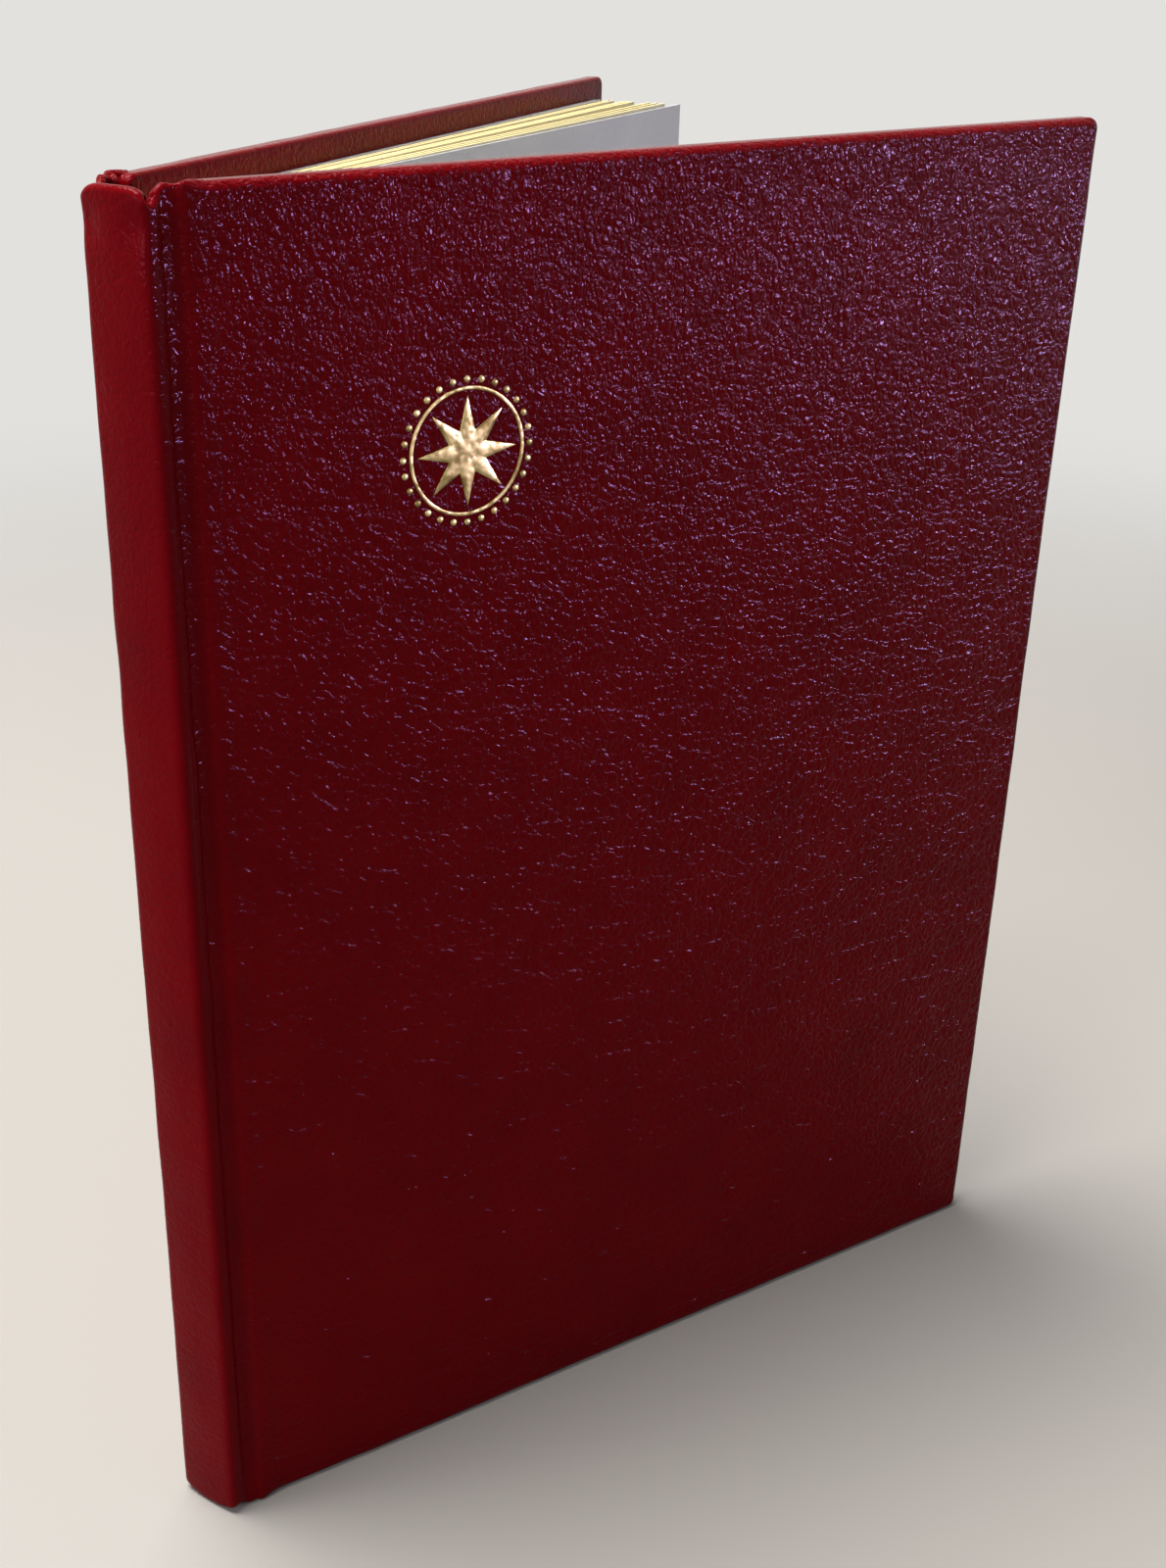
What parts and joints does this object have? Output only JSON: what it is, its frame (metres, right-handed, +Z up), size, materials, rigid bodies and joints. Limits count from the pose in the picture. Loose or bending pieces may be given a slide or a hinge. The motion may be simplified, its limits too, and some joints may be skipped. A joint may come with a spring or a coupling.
{
  "type": "stamp album",
  "caption": "Padded leatherette stamp stock book standing part open, with hinged covers, flyleaves and card leaves that carry glassine strips.",
  "frame": {"origin": "middle of the footprint, on the surface that the tail of the covers stands on", "axes": "+Z up from the tail to the head, +X from the spine towards the fore-edge at right angles to the spine, -Y towards the front cover"},
  "size_m": [0.1659, 0.1078, 0.22],
  "materials": {
    "red_leatherette": "pebble-grained, semi-gloss",
    "greyboard": "matt",
    "foam": "soft foam",
    "endpaper": "smooth",
    "gold_foil": "hot-stamped foil",
    "cream_card": "smooth card",
    "book_cloth": "woven",
    "glassine": "translucent, glossy"
  },
  "bodies": {
    "spine": {"spine_board": "greyboard", "spine_leather": "red_leatherette", "spine_lining": "book_cloth", "front_joint_leather": "red_leatherette", "back_joint_leather": "red_leatherette"},
    "front_cover": {"front_board": "greyboard", "front_padding": "foam", "front_leather": "red_leatherette", "front_infill": "greyboard", "front_pastedown": "endpaper", "front_emblem": "gold_foil"},
    "back_cover": {"back_board": "greyboard", "back_padding": "foam", "back_leather": "red_leatherette", "back_infill": "greyboard", "back_pastedown": "endpaper"},
    "back_flyleaf": {"back_flyleaf": "endpaper"},
    "leaf_8": {"leaf_8_card": "cream_card", "leaf_8_guard": "book_cloth", "leaf_8_front_strips": "glassine", "leaf_8_back_strips": "glassine", "leaf_8_interleaf": "glassine"},
    "leaf_7": {"leaf_7_card": "cream_card", "leaf_7_guard": "book_cloth", "leaf_7_front_strips": "glassine", "leaf_7_back_strips": "glassine", "leaf_7_interleaf": "glassine"},
    "leaf_6": {"leaf_6_card": "cream_card", "leaf_6_guard": "book_cloth", "leaf_6_front_strips": "glassine", "leaf_6_back_strips": "glassine", "leaf_6_interleaf": "glassine"},
    "leaf_5": {"leaf_5_card": "cream_card", "leaf_5_guard": "book_cloth", "leaf_5_front_strips": "glassine", "leaf_5_back_strips": "glassine", "leaf_5_interleaf": "glassine"},
    "leaf_4": {"leaf_4_card": "cream_card", "leaf_4_guard": "book_cloth", "leaf_4_front_strips": "glassine", "leaf_4_back_strips": "glassine", "leaf_4_interleaf": "glassine"},
    "leaf_3": {"leaf_3_card": "cream_card", "leaf_3_guard": "book_cloth", "leaf_3_front_strips": "glassine", "leaf_3_back_strips": "glassine", "leaf_3_interleaf": "glassine"},
    "leaf_2": {"leaf_2_card": "cream_card", "leaf_2_guard": "book_cloth", "leaf_2_front_strips": "glassine", "leaf_2_back_strips": "glassine", "leaf_2_interleaf": "glassine"},
    "leaf_1": {"leaf_1_card": "cream_card", "leaf_1_guard": "book_cloth", "leaf_1_front_strips": "glassine", "leaf_1_back_strips": "glassine", "leaf_1_interleaf": "glassine"},
    "front_flyleaf": {"front_flyleaf": "endpaper"}
  },
  "joints": [
    {"name": "front_cover_hinge", "type": "hinge", "parent": "spine", "child": "front_cover", "pos_m": [-0.07845, 0.01323, 0.11], "axis": [0, 0, -1], "range_deg": [-23.5, 66.5]},
    {"name": "back_cover_hinge", "type": "hinge", "parent": "spine", "child": "back_cover", "pos_m": [-0.07845, 0.02191, 0.11], "axis": [0, 0, 1], "range_deg": [-10.5, 79.5]},
    {"name": "back_flyleaf_turn", "type": "hinge", "parent": "back_cover", "child": "back_flyleaf", "pos_m": [-0.07459, 0.02082, 0.11], "axis": [0, 0, -1], "range_deg": [-0.25, 15]},
    {"name": "leaf_8_turn", "type": "hinge", "parent": "back_flyleaf", "child": "leaf_8", "pos_m": [-0.07451, 0.02036, 0.11], "axis": [0, 0, -1], "range_deg": [-0.5, 15]},
    {"name": "leaf_7_turn", "type": "hinge", "parent": "leaf_8", "child": "leaf_7", "pos_m": [-0.07441, 0.01977, 0.11], "axis": [0, 0, -1], "range_deg": [-0.15, 15]},
    {"name": "leaf_6_turn", "type": "hinge", "parent": "leaf_7", "child": "leaf_6", "pos_m": [-0.07431, 0.01918, 0.11], "axis": [0, 0, -1], "range_deg": [-0.7, 15]},
    {"name": "leaf_5_turn", "type": "hinge", "parent": "leaf_6", "child": "leaf_5", "pos_m": [-0.07421, 0.01859, 0.11], "axis": [0, 0, -1], "range_deg": [-0.1, 15]},
    {"name": "leaf_4_turn", "type": "hinge", "parent": "leaf_5", "child": "leaf_4", "pos_m": [-0.07412, 0.01799, 0.11], "axis": [0, 0, -1], "range_deg": [-0.1, 15]},
    {"name": "leaf_3_turn", "type": "hinge", "parent": "leaf_4", "child": "leaf_3", "pos_m": [-0.07403, 0.0174, 0.11], "axis": [0, 0, -1], "range_deg": [-1, 15]},
    {"name": "leaf_2_turn", "type": "hinge", "parent": "leaf_3", "child": "leaf_2", "pos_m": [-0.07395, 0.01681, 0.11], "axis": [0, 0, -1], "range_deg": [-0.35, 15]},
    {"name": "leaf_1_turn", "type": "hinge", "parent": "leaf_2", "child": "leaf_1", "pos_m": [-0.07387, 0.01621, 0.11], "axis": [0, 0, -1], "range_deg": [-0.35, 15]},
    {"name": "front_flyleaf_turn", "type": "hinge", "parent": "leaf_1", "child": "front_flyleaf", "pos_m": [-0.07382, 0.01574, 0.11], "axis": [0, 0, -1], "range_deg": [-1.07, 15]}
  ]
}
